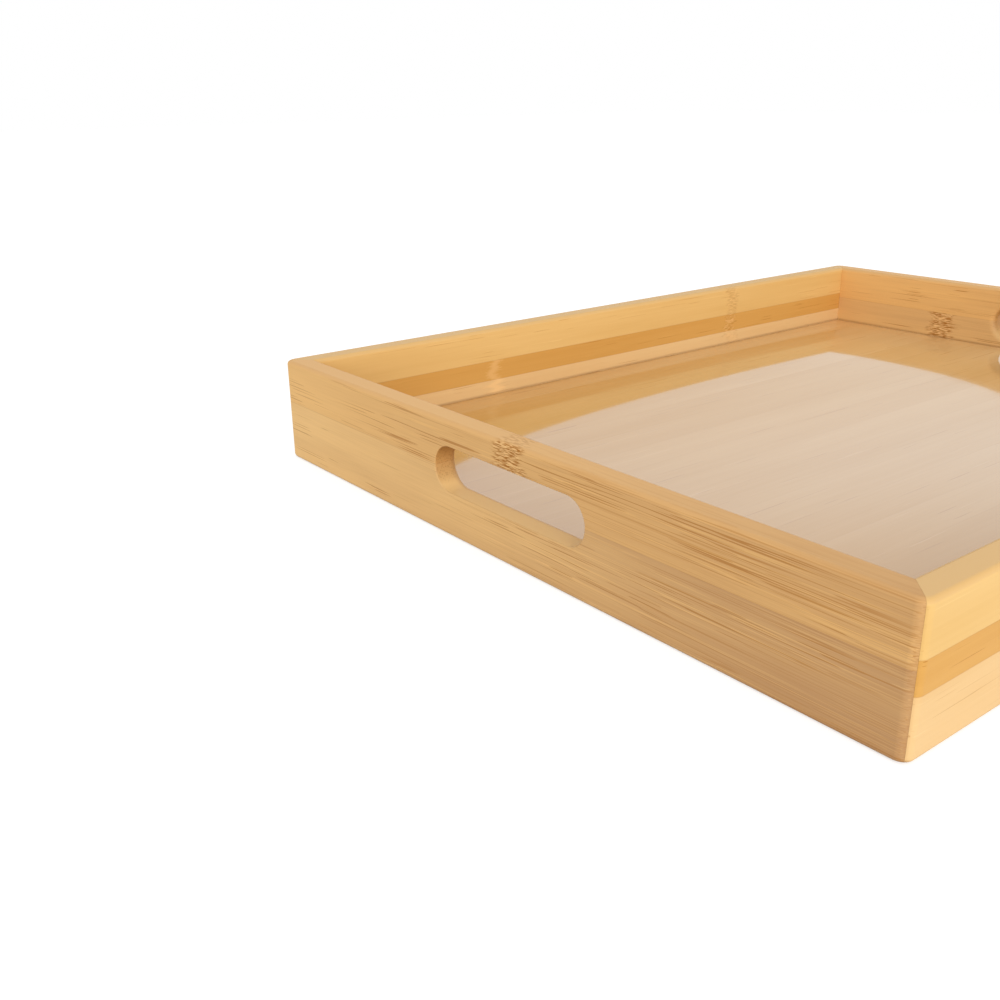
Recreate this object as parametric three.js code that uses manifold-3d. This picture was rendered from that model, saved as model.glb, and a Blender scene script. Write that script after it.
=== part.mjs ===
// Bamboo serving tray: laminated walls with mitred corners, finger slots in the end walls, and a plywood
// floor in a groove. Millimetres, +Z up, +X along the tray. The origin is on the table, under its middle.

import * as THREE from 'three';
import { mergeVertices } from 'three/addons/utils/BufferGeometryUtils.js';
import Module from 'manifold-3d';

// Overall size
const TRAY_LENGTH = 450;
const TRAY_WIDTH = 350;
const TRAY_HEIGHT = 50;
const WALL_THICKNESS = 11.5;

// Rounding: the arris runs round every long edge, and the flat of the rim has its own small corner radius
const ARRIS_RADIUS = 2;
const RIM_CORNER_RADIUS = 2;
const ARRIS_SEGMENTS = 4;
const CORNER_SEGMENTS = 6;

// Strips of a long wall, from the rim down: the bottom strip has the rest of the height
const LONG_TOP_STRIP_HEIGHT = 17.7;
const LONG_MIDDLE_STRIP_HEIGHT = 11;

// Finger slot in each end wall: the strips meet at its middle, and only its inner edge is well rounded
const SLOT_LENGTH = 91;
const SLOT_HEIGHT = 19.5;
const GRIP_BAR_HEIGHT = 11;
const SLOT_EDGE_EASING = 0.8;
const SLOT_INNER_ROUNDING = 4;
const SLOT_SEGMENTS = 12;
const EASING_SEGMENTS = 2;
const ROUNDING_SEGMENTS = 4;

// Floor panel: a core between two veneers, raised off the table and let into the walls
const FLOOR_CLEAR_HEIGHT = 8.8;
const CORE_THICKNESS = 3;
const VENEER_THICKNESS = 0.5;
const GROOVE_DEPTH = 5;

// Loose tongue hidden in each mitred corner
const TONGUE_WIDTH = 8;
const TONGUE_THICKNESS = 3;
const TONGUE_ABOVE_FLOOR = 3;
const TONGUE_BELOW_RIM = 8;
const TONGUE_SEGMENTS = 5;

// Clearances
const GLUE_LINE = 0.1;
const MITRE_GAP = 0.2;
const TONGUE_CLEARANCE = 0.3;
const PANEL_END_CLEARANCE = 0.5;
const PANEL_TOP_CLEARANCE = 0.3;

// Worked-out places
const INNER_LENGTH = TRAY_LENGTH - 2 * WALL_THICKNESS;
const INNER_WIDTH = TRAY_WIDTH - 2 * WALL_THICKNESS;
const LONG_UPPER_JOINT = TRAY_HEIGHT - LONG_TOP_STRIP_HEIGHT;
const LONG_LOWER_JOINT = LONG_UPPER_JOINT - LONG_MIDDLE_STRIP_HEIGHT;
const SLOT_CENTRE_HEIGHT = TRAY_HEIGHT - GRIP_BAR_HEIGHT - SLOT_HEIGHT / 2;
const CORE_BOTTOM = FLOOR_CLEAR_HEIGHT + VENEER_THICKNESS + GLUE_LINE;
const TOP_VENEER_BOTTOM = CORE_BOTTOM + CORE_THICKNESS + GLUE_LINE;
const FLOOR_TOP = TOP_VENEER_BOTTOM + VENEER_THICKNESS;
const TONGUE_BOTTOM = FLOOR_TOP + TONGUE_ABOVE_FLOOR;
const TONGUE_TOP = TRAY_HEIGHT - TONGUE_BELOW_RIM;

// Finishes
const STRAW = { color: 0xebb873, roughness: 0.45, metalness: 0 };
const AMBER = { color: 0xd49a50, roughness: 0.45, metalness: 0 };
const PALE = { color: 0xe5b67c, roughness: 0.45, metalness: 0 };
const HONEY = { color: 0xdeb177, roughness: 0.5, metalness: 0 };
const LACQUER = { color: 0xc99e5d, roughness: 0.1, metalness: 0 };
const PLY = { color: 0xb88f5c, roughness: 0.7, metalness: 0 };

// Cutters stand proud of what they cut by this much, and corners closer than the weld are one corner
const CUT_MARGIN = 1;
const WELD = 1e-4;

const wasm = await Module();
wasm.setup();

/** A closed solid from a three.js geometry. */
function solidOf(geometry) {
  geometry.deleteAttribute('normal');
  geometry.deleteAttribute('uv');
  const welded = mergeVertices(geometry, WELD);
  return new wasm.Manifold(new wasm.Mesh({
    numProp: 3,
    vertProperties: new Float32Array(welded.attributes.position.array),
    triVerts: new Uint32Array(welded.index.array),
  }));
}

/** The three.js geometry of a closed solid. */
function geometryOf(solid) {
  const { vertProperties, triVerts } = solid.getMesh();
  const geometry = new THREE.BufferGeometry();
  geometry.setAttribute('position', new THREE.BufferAttribute(vertProperties, 3));
  geometry.setIndex(new THREE.BufferAttribute(triVerts, 1));
  geometry.computeVertexNormals();
  return geometry;
}

/** One named piece of the tray with a material of its own. */
function piece(name, geometry, finish) {
  const mesh = new THREE.Mesh(geometry, new THREE.MeshStandardMaterial(finish));
  mesh.name = name;
  return mesh;
}

/** A rectangle about the origin. */
function rectangle(length, width) {
  const x = length / 2;
  const y = width / 2;
  return new THREE.Shape([
    new THREE.Vector2(-x, -y),
    new THREE.Vector2(x, -y),
    new THREE.Vector2(x, y),
    new THREE.Vector2(-x, y),
  ]);
}

/** A rectangle about the origin with round corners. */
function roundedRectangle(length, width, radius) {
  const x = length / 2 - radius;
  const y = width / 2 - radius;
  const shape = new THREE.Shape();
  shape.absarc(x, y, radius, 0, Math.PI / 2);
  shape.absarc(-x, y, radius, Math.PI / 2, Math.PI);
  shape.absarc(-x, -y, radius, Math.PI, 1.5 * Math.PI);
  shape.absarc(x, -y, radius, 1.5 * Math.PI, 2 * Math.PI);
  shape.closePath();
  return shape;
}

/** A slot outline about the origin: straight sides and full round ends. */
function roundEnded(length, height) {
  const reach = (length - height) / 2;
  const shape = new THREE.Shape();
  shape.absarc(reach, 0, height / 2, -Math.PI / 2, Math.PI / 2);
  shape.absarc(-reach, 0, height / 2, Math.PI / 2, 1.5 * Math.PI);
  shape.closePath();
  return shape;
}

/** A straight extrusion of an outline between two heights. */
function prism(outline, bottom, top, curveSegments = 1) {
  const options = { depth: top - bottom, bevelEnabled: false, curveSegments };
  return new THREE.ExtrudeGeometry(outline, options).translate(0, 0, bottom);
}

/** The four walls as one ring, round-edged above and below, inside and outside. */
function wallRing() {
  const outline = roundedRectangle(TRAY_LENGTH, TRAY_WIDTH, RIM_CORNER_RADIUS + ARRIS_RADIUS);
  outline.holes.push(rectangle(INNER_LENGTH, INNER_WIDTH));
  const ring = new THREE.ExtrudeGeometry(outline, {
    depth: TRAY_HEIGHT - 2 * ARRIS_RADIUS,
    bevelThickness: ARRIS_RADIUS,
    bevelSize: ARRIS_RADIUS,
    bevelOffset: -ARRIS_RADIUS,
    bevelSegments: ARRIS_SEGMENTS,
    curveSegments: CORNER_SEGMENTS,
  });
  return solidOf(ring.translate(0, 0, ARRIS_RADIUS));
}

/** The groove that the floor panel is glued into. */
function floorGroove() {
  const outline = rectangle(INNER_LENGTH + 2 * GROOVE_DEPTH, INNER_WIDTH + 2 * GROOVE_DEPTH);
  return solidOf(prism(outline, FLOOR_CLEAR_HEIGHT - GLUE_LINE, FLOOR_TOP + PANEL_TOP_CLEARANCE));
}

/** Slot outline swept along X between two planes, its ends drawn out by `rise` over a length of `run`. */
function slotSweep(firstX, secondX, rise, run) {
  const sweep = new THREE.ExtrudeGeometry(roundEnded(SLOT_LENGTH, SLOT_HEIGHT), {
    depth: Math.abs(secondX - firstX),
    bevelEnabled: rise > 0,
    bevelThickness: run,
    bevelSize: rise,
    bevelSegments: 1,
    curveSegments: SLOT_SEGMENTS,
  });
  const alongY = new THREE.Vector3(0, 1, 0);
  const alongZ = new THREE.Vector3(0, 0, 1);
  const alongX = new THREE.Vector3(1, 0, 0);
  sweep.applyMatrix4(new THREE.Matrix4().makeBasis(alongY, alongZ, alongX));
  return solidOf(sweep.translate(Math.min(firstX, secondX), 0, SLOT_CENTRE_HEIGHT));
}

/** The flats of a rounded edge: how far the plane of each one reaches along the two faces it joins. */
function roundedEdge(radius, segments) {
  const step = Math.PI / 2 / segments;
  const distance = radius * Math.cos(step / 2);
  return Array.from({ length: segments }, (_, index) => {
    const lean = (index + 0.5) * step;
    const rise = radius - (distance - radius * Math.cos(lean)) / Math.sin(lean);
    const run = radius - (distance - radius * Math.sin(lean)) / Math.cos(lean);
    return [rise, run];
  });
}

/** The finger slot through one end wall, eased at the outer face and rounded at the inner one. */
function fingerSlot(side) {
  const outer = side * TRAY_LENGTH / 2;
  const inner = side * INNER_LENGTH / 2;
  const beyond = side * CUT_MARGIN;
  let slot = slotSweep(outer + beyond, inner - beyond, 0, 0);
  for (const [rise, run] of roundedEdge(SLOT_EDGE_EASING, EASING_SEGMENTS)) {
    slot = slot.add(slotSweep(outer, outer + beyond, rise, run));
  }
  for (const [rise, run] of roundedEdge(SLOT_INNER_ROUNDING, ROUNDING_SEGMENTS)) {
    slot = slot.add(slotSweep(inner, inner - beyond, rise, run));
  }
  return slot;
}

/** The tongue, or with a clearance the mortise it sits in, at the middle of one mitre. */
function tongueShape(sideX, sideY, clearance, bottom, top) {
  const outline = roundEnded(TONGUE_WIDTH + 2 * clearance, TONGUE_THICKNESS + 2 * clearance);
  const shape = prism(outline, bottom, top, TONGUE_SEGMENTS);
  shape.rotateZ(-sideX * sideY * Math.PI / 4);
  const middleX = sideX * (TRAY_LENGTH - WALL_THICKNESS) / 2;
  const middleY = sideY * (TRAY_WIDTH - WALL_THICKNESS) / 2;
  return shape.translate(middleX, middleY, 0);
}

/** Plan of one wall between its mitres, from `outer` to `inner` on its own axis. */
function mitredOutline(halfLength, outer, inner, alongX) {
  const setback = MITRE_GAP * Math.SQRT1_2;
  const longHalf = halfLength + CUT_MARGIN - setback;
  const shortHalf = halfLength - WALL_THICKNESS - CUT_MARGIN - setback;
  const corners = [[-longHalf, outer], [longHalf, outer], [shortHalf, inner], [-shortHalf, inner]];
  return new THREE.Shape(corners.map(([along, across]) => (
    alongX ? new THREE.Vector2(along, across) : new THREE.Vector2(across, along)
  )));
}

/** Plan of the long wall at the back (side 1) or the front (side -1). */
function longWallOutline(side) {
  const outer = side * (TRAY_WIDTH / 2 + CUT_MARGIN);
  const inner = side * (INNER_WIDTH / 2 - CUT_MARGIN);
  return mitredOutline(TRAY_LENGTH / 2, outer, inner, true);
}

/** Plan of the end wall on the right (side 1) or the left (side -1). */
function endWallOutline(side) {
  const outer = side * (TRAY_LENGTH / 2 + CUT_MARGIN);
  const inner = side * (INNER_LENGTH / 2 - CUT_MARGIN);
  return mitredOutline(TRAY_WIDTH / 2, outer, inner, false);
}

/** One wall cut from the ring into strips, which are glued together at the given heights. */
function wallStrips(ring, outline, joints, names, finishes) {
  const wall = new THREE.Group();
  names.forEach((name, index) => {
    const bottom = index === 0 ? -CUT_MARGIN : joints[index - 1] + GLUE_LINE / 2;
    const top = index === joints.length ? TRAY_HEIGHT + CUT_MARGIN : joints[index] - GLUE_LINE / 2;
    const strip = ring.intersect(solidOf(prism(outline, bottom, top)));
    wall.add(piece(name, geometryOf(strip), finishes[index]));
  });
  return wall;
}

/** The four walls, with the groove, the mortises and the finger slots cut in them. */
function walls() {
  let ring = wallRing().subtract(floorGroove());
  for (const sideX of [-1, 1]) {
    ring = ring.subtract(fingerSlot(sideX));
    for (const sideY of [-1, 1]) {
      const top = TONGUE_TOP + TONGUE_CLEARANCE;
      const mortise = tongueShape(sideX, sideY, TONGUE_CLEARANCE, TONGUE_BOTTOM - GLUE_LINE, top);
      ring = ring.subtract(solidOf(mortise));
    }
  }
  const group = new THREE.Group();
  for (const [label, side] of [['front', -1], ['back', 1]]) {
    const names = ['bottom', 'middle', 'top'].map((level) => `${label}_wall_${level}_strip`);
    const joints = [LONG_LOWER_JOINT, LONG_UPPER_JOINT];
    group.add(wallStrips(ring, longWallOutline(side), joints, names, [PALE, AMBER, STRAW]));
  }
  for (const [label, side] of [['left', -1], ['right', 1]]) {
    const names = ['lower', 'upper'].map((level) => `${label}_wall_${level}_strip`);
    group.add(wallStrips(ring, endWallOutline(side), [SLOT_CENTRE_HEIGHT], names, [HONEY, HONEY]));
  }
  return group;
}

/** The floor panel: two veneers glued to a core. */
function floorPanel() {
  const reach = GROOVE_DEPTH - PANEL_END_CLEARANCE;
  const outline = rectangle(INNER_LENGTH + 2 * reach, INNER_WIDTH + 2 * reach);
  const group = new THREE.Group();
  const plies = [
    ['floor_bottom_veneer', FLOOR_CLEAR_HEIGHT, VENEER_THICKNESS, PLY],
    ['floor_core', CORE_BOTTOM, CORE_THICKNESS, PLY],
    ['floor_top_veneer', TOP_VENEER_BOTTOM, VENEER_THICKNESS, LACQUER],
  ];
  for (const [name, bottom, thickness, finish] of plies) {
    group.add(piece(name, prism(outline, bottom, bottom + thickness), finish));
  }
  return group;
}

/** The loose tongues inside the four mitred corners. */
function cornerTongues() {
  const group = new THREE.Group();
  for (const [endLabel, sideX] of [['left', -1], ['right', 1]]) {
    for (const [wallLabel, sideY] of [['front', -1], ['back', 1]]) {
      const tongue = tongueShape(sideX, sideY, 0, TONGUE_BOTTOM, TONGUE_TOP);
      group.add(piece(`corner_tongue_${wallLabel}_${endLabel}`, tongue, PLY));
    }
  }
  return group;
}

const tray = new THREE.Group();
tray.name = 'bamboo_serving_tray';
tray.add(walls(), floorPanel(), cornerTongues());

export default tray;
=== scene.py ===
"""Looks of the bamboo serving tray.

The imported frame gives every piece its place. This script builds the fine shapes of the wall strips, gives
every piece a procedural bamboo finish, and sets up a plain white studio with the photograph's camera.
All lengths are in metres.
"""

import logging
import math
from dataclasses import dataclass, field, replace
from enum import Enum
from functools import reduce
from typing import Any, Iterable, Sequence

import bmesh
import bpy
from mathutils import Color, Matrix, Vector


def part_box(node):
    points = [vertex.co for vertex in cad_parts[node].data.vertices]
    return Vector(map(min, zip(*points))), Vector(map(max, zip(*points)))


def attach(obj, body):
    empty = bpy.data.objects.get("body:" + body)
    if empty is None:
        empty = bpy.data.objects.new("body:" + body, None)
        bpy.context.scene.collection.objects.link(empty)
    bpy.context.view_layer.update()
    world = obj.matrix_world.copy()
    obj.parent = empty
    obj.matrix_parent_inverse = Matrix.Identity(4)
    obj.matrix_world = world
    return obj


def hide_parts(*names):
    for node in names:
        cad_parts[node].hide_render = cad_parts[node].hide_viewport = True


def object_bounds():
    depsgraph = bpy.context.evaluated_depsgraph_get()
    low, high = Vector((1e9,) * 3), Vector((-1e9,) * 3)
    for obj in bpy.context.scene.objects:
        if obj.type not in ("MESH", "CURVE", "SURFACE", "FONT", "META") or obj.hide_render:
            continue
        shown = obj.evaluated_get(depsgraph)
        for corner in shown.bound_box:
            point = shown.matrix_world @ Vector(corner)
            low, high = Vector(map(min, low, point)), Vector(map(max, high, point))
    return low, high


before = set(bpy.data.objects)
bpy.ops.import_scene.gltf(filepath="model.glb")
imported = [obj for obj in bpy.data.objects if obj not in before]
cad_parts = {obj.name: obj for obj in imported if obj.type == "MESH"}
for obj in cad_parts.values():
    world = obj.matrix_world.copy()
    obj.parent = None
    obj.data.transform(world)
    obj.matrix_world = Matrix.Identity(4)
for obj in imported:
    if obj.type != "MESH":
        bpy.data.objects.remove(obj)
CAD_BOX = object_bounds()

Colour = tuple[float, float, float, float]
Point2 = tuple[float, float]
Point3 = tuple[float, float, float]
Material = bpy.types.Material
Mesh = bpy.types.Mesh
NodeGroup = bpy.types.NodeTree
Socket = bpy.types.NodeSocket
Sockets = dict[str, Socket]

LOG = logging.getLogger("bamboo_tray")
MM = 0.001
UPWARDS: Point3 = (0.0, 0.0, 1.0)
# A height that no piece reaches
FAR_AWAY = -1.0
# Middle of anything that runs from 0 to 1
HALF = 0.5


def paint(red: int, green: int, blue: int) -> Colour:
    """Turn a display colour, 0 to 255, into the opaque linear colour that shaders use."""
    linear = Color((red / 255, green / 255, blue / 255)).from_srgb_to_scene_linear()
    return linear.r, linear.g, linear.b, 1.0


class GrainAxis(Enum):
    """The direction in which a piece's fibres run."""

    ALONG_X = (1.0, 0.0, 0.0)
    ALONG_Y = (0.0, 1.0, 0.0)

    @property
    def turn(self) -> float:
        """Rotation about Z that brings the fibres onto the X axis of the grain space."""
        return 0.0 if self is GrainAxis.ALONG_X else -math.pi / 2

    @property
    def across(self) -> Point3:
        """Level direction across the fibres, which the broad faces of a wall look along."""
        return (GrainAxis.ALONG_Y if self is GrainAxis.ALONG_X else GrainAxis.ALONG_X).value


class WallSide(Enum):
    """The four walls, named as seen by someone in front of the tray."""

    FRONT = "front"
    BACK = "back"
    LEFT = "left"
    RIGHT = "right"

    @property
    def is_long(self) -> bool:
        """True for the two walls that run along X."""
        return self in (WallSide.FRONT, WallSide.BACK)

    @property
    def sign(self) -> int:
        """Side of the tray's middle on which the wall stands."""
        return 1 if self in (WallSide.BACK, WallSide.RIGHT) else -1

    @property
    def grain(self) -> GrainAxis:
        """Fibres run along the wall."""
        return GrainAxis.ALONG_X if self.is_long else GrainAxis.ALONG_Y


@dataclass(frozen=True)
class TraySizes:
    """Sizes that the pieces share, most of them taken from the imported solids."""

    length: float
    width: float
    height: float
    wall: float
    floor_bottom: float
    floor_top: float
    slot_centre: float
    tongue_bottom: float
    tongue_top: float
    arris: float = 2.0 * MM
    corner: float = 4.0 * MM
    glue_line: float = 0.1 * MM
    glue_edge: float = 0.02 * MM
    mitre_setback: float = 0.03 * MM
    groove_depth: float = 5.0 * MM
    groove_room: float = 0.05 * MM
    slot_length: float = 91.0 * MM
    slot_height: float = 19.5 * MM
    slot_easing: float = 0.6 * MM
    slot_rounding: float = 4.0 * MM
    tongue_width: float = 8.0 * MM
    tongue_thickness: float = 3.0 * MM
    tongue_room: float = 0.3 * MM

    @classmethod
    def from_frame(cls) -> "TraySizes":
        """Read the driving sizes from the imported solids.

        Returns:
            The tray's sizes.
        """
        low, high = CAD_BOX
        end_low, end_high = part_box("left_wall_upper_strip")
        tongue_low, tongue_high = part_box("corner_tongue_front_left")
        return cls(
            length=high.x - low.x,
            width=high.y - low.y,
            height=high.z - low.z,
            wall=end_high.x - end_low.x,
            floor_bottom=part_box("floor_bottom_veneer")[0].z,
            floor_top=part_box("floor_top_veneer")[1].z,
            slot_centre=(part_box("left_wall_lower_strip")[1].z + end_low.z) / 2,
            tongue_bottom=tongue_low.z,
            tongue_top=tongue_high.z,
        )

    def place(self, side: WallSide, along: float, depth: float, height: float) -> Vector:
        """Turn a wall's own coordinates into a point of the tray.

        Args:
            side: The wall.
            along: Distance from the wall's middle, along it.
            depth: Distance in from the wall's outer face.
            height: Height above the table.

        Returns:
            The point in the tray's frame.
        """
        if side.is_long:
            return Vector((along, side.sign * (self.width / 2 - depth), height))
        return Vector((side.sign * (self.length / 2 - depth), along, height))


def loft(name: str, rings: Sequence[Sequence[Vector]]) -> Mesh:
    """Build a closed mesh through rings of points, with a cap at each end.

    Args:
        name: Name of the mesh.
        rings: Rings of equal length, in order.

    Returns:
        The mesh, its faces turned outwards.
    """
    shape = bmesh.new()
    loops = [[shape.verts.new(point) for point in ring] for ring in rings]
    for near, far in zip(loops, loops[1:]):
        for this in range(len(near)):
            that = (this + 1) % len(near)
            shape.faces.new((near[this], near[that], far[that], far[this]))
    shape.faces.new(loops[0][::-1])
    shape.faces.new(loops[-1])
    bmesh.ops.recalc_face_normals(shape, faces=shape.faces)
    mesh = bpy.data.meshes.new(name)
    shape.to_mesh(mesh)
    shape.free()
    return mesh


def carve(name: str, body: Mesh, cutters: Iterable[Mesh]) -> Mesh:
    """Cut closed shapes out of a closed mesh.

    Args:
        name: Name of the result.
        body: The mesh that is cut; it is used up.
        cutters: The shapes taken away; they are used up.

    Returns:
        The carved mesh.
    """
    collection = bpy.context.scene.collection
    helpers = [bpy.data.objects.new(name + "_blank", body)]
    for number, cutter in enumerate(cutters):
        helpers.append(bpy.data.objects.new(f"{name}_cutter_{number}", cutter))
        cut = helpers[0].modifiers.new(f"cut_{number}", "BOOLEAN")
        cut.operation = "DIFFERENCE"
        cut.solver = "EXACT"
        cut.object = helpers[-1]
    for helper in helpers:
        collection.objects.link(helper)
    graph = bpy.context.evaluated_depsgraph_get()
    carved = bpy.data.meshes.new_from_object(helpers[0].evaluated_get(graph))
    carved.name = name
    for helper in helpers:
        mesh = helper.data
        bpy.data.objects.remove(helper)
        bpy.data.meshes.remove(mesh)
    return carved


def round_ended(length: float, height: float, steps: int) -> list[Point2]:
    """Outline of a slot with half-round ends.

    Args:
        length: Whole length, ends included.
        height: Whole height.
        steps: Segments in each half round.

    Returns:
        Points once round the outline, about its centre.
    """
    radius = height / 2
    straight = length / 2 - radius
    outline = []
    for end in (1, -1):
        for step in range(steps + 1):
            angle = math.pi * (step / steps - HALF)
            outline.append((end * (straight + radius * math.cos(angle)), end * radius * math.sin(angle)))
    return outline


@dataclass(frozen=True)
class Texture:
    """Noise stretched along the grain: cells per metre along and across it, octaves, and their weight."""

    stretch: Point3
    detail: float = 2.0
    roughness: float = 0.5


class NodeNet:
    """Adds nodes to one shader node tree and joins their sockets."""

    def __init__(self, tree: bpy.types.NodeTree) -> None:
        """Start on an emptied tree."""
        self.tree = tree
        tree.nodes.clear()

    def feed(self, socket: Socket, source: Any) -> None:
        """Link a socket to another one, or set its plain value.

        Args:
            socket: The socket that is fed.
            source: Another socket, or a value.
        """
        if isinstance(source, Socket):
            self.tree.links.new(source, socket)
        else:
            socket.default_value = source

    def add(self, kind: str, inputs: dict[Any, Any] | None = None, **settings: Any) -> bpy.types.Node:
        """Add a node.

        Args:
            kind: Blender's name of the node type, less its first part, ShaderNode.
            inputs: What feeds its inputs, by their names or numbers.
            settings: Properties set on the node.

        Returns:
            The node.
        """
        node = self.tree.nodes.new("ShaderNode" + kind)
        for key, value in settings.items():
            setattr(node, key, value)
        for key, source in (inputs or {}).items():
            self.feed(node.inputs[key], source)
        return node

    def math(self, operation: str, *terms: Any, clamp: bool = False) -> Socket:
        """Do arithmetic on values."""
        inputs = dict(enumerate(terms))
        return self.add("Math", inputs, operation=operation, use_clamp=clamp).outputs[0]

    def product(self, first: Any, *others: Any) -> Socket:
        """Multiply values."""
        return reduce(lambda so_far, other: self.math("MULTIPLY", so_far, other), others, first)

    def gap(self, first: Any, second: Any) -> Socket:
        """Distance between two values."""
        return self.math("ABSOLUTE", self.math("SUBTRACT", first, second))

    def vector(self, operation: str, *terms: Any) -> Socket:
        """Do arithmetic on vectors."""
        return self.add("VectorMath", dict(enumerate(terms)), operation=operation).outputs["Vector"]

    def dot(self, first: Any, second: Any) -> Socket:
        """Dot product of two vectors."""
        return self.add("VectorMath", {0: first, 1: second}, operation="DOT_PRODUCT").outputs["Value"]

    def split(self, vector: Socket) -> tuple[Socket, ...]:
        """X, Y and Z of a vector."""
        return tuple(self.add("SeparateXYZ", {0: vector}).outputs)

    def ramp(self, value: Any, low: Any, high: Any, start: Any = 0.0, end: Any = 1.0) -> Socket:
        """Ease a value from the range between low and high into the one between start and end."""
        inputs = {"Value": value, "From Min": low, "From Max": high, "To Min": start, "To Max": end}
        return self.add("MapRange", inputs, interpolation_type="SMOOTHSTEP").outputs["Result"]

    def noise(self, position: Any, texture: Texture) -> Socket:
        """Stretched noise at a place in grain space."""
        return self.add("TexNoise", {
            "Vector": self.vector("MULTIPLY", position, texture.stretch),
            "Scale": 1.0,
            "Detail": texture.detail,
            "Roughness": texture.roughness,
        }).outputs[0]

    def mix(self, share: Any, first: Any, second: Any) -> Socket:
        """Mix two colours by the share of the second; the node's sockets go by number for colours."""
        return self.add("Mix", {0: share, 6: first, 7: second}, data_type="RGBA").outputs[2]

    def place_group(self, group: NodeGroup, **values: Any) -> Sockets:
        """Place a shared effect and feed it.

        Args:
            group: The effect's node group.
            values: Its inputs by name, with underscores for spaces.

        Returns:
            Its outputs by name.
        """
        inputs = {key.replace("_", " "): value for key, value in values.items()}
        node = self.add("Group", inputs, node_tree=group)
        return {socket.name: socket for socket in node.outputs}


def new_material(name: str) -> tuple[Material, NodeNet]:
    """Make an empty material.

    Args:
        name: Name of the material.

    Returns:
        The material and the net of its nodes.
    """
    material = bpy.data.materials.new(name)
    material.use_nodes = True
    return material, NodeNet(material.node_tree)


def finish_piece(piece: bpy.types.Object, material: Material) -> None:
    """Give a piece its only material.

    Args:
        piece: The piece.
        material: Its material.
    """
    piece.data.materials.clear()
    piece.data.materials.append(material)
    LOG.info("finished %s with %s", piece.name, material.name)


class SocketKind(Enum):
    """Kinds of sockets on a shared effect."""

    VALUE = "NodeSocketFloat"
    COLOUR = "NodeSocketColor"
    VECTOR = "NodeSocketVector"


Labels = dict[SocketKind, str]
VALUE, COLOUR, VECTOR = SocketKind

# Tones of the bamboo, and how far one step of the seed moves the pattern
CLOUD = Texture((5.0, 46.0, 46.0), 3.0, 0.55)
STREAK = Texture((8.0, 620.0, 620.0), 3.0, 0.6)
STREAK_SHARE = 0.28
STREAK_RELIEF = 0.2
SEED_STEP = (1.37, 0.31, 0.53)
# Fibre bundles: the noise level that they start from, for none and for the most of them
BUNDLE = Texture((1.0, 1.0, 1.0), 0.0)
BUNDLE_LIMITS = (0.76, 0.52)
BUNDLE_EDGE = 0.025
CLUSTER = Texture((11.0, 95.0, 95.0))
CLUSTER_EDGE = (0.36, 0.58)
LONG_BUNDLE = (3.2, 0.62, 0.62)
LONG_ONSET = (0.1, 0.5)
LONG_RISE = 0.02
DARK_SHARE = 0.66
PALE_SHARE = 0.45
PALE_EDGE = 0.4 * MM
HAIR = Texture((30.0, 2400.0, 2400.0), 1.0)
HAIR_EDGE = (0.42, 0.75)
HAIR_SHARE = 0.3
# Culm nodes: a ragged band of strokes that swirl, and a painted highlight across the band's middle
RAGGED = Texture((25.0, 520.0, 520.0))
RAGGED_REACH = 16.0 * MM
BAND_EDGE = (1.0, 0.6)
# Painted highlight across a node's middle, where the node catches the light
HIGHLIGHT_EDGE = (0.75, 0.1)
SWIRL = Texture((110.0, 240.0, 240.0))
SWIRL_REACH = 1.0 * MM
RIPPLE = Texture((270.0, 2900.0, 2900.0), 1.0, 0.45)
DARK_STROKE = (0.5, 0.58)
DARK_LEAST = 0.15
PALE_STROKE = (0.47, 0.39)
RIDGE_HEIGHT = 1.5
# Cut fibre ends, and painted shade that deepens them on faces that look down
BUNDLES_ACROSS = (0.0, 1150.0, 1150.0)
DOT_EDGE = (0.5, 0.15)
DOT_SHARE = 0.3
CUT_EDGE = (0.5, 0.97)
CUT_SHARE = 0.5
UNDERSIDE_SHADE_SHARE = 0.5
# Painted shade on upper faces and roundings, and thin lines
UPPER_EDGE = (0.1, 0.6)
ROUNDING_PEAK = 4.0
LINE_EDGE = (1.0, 0.2)


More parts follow.
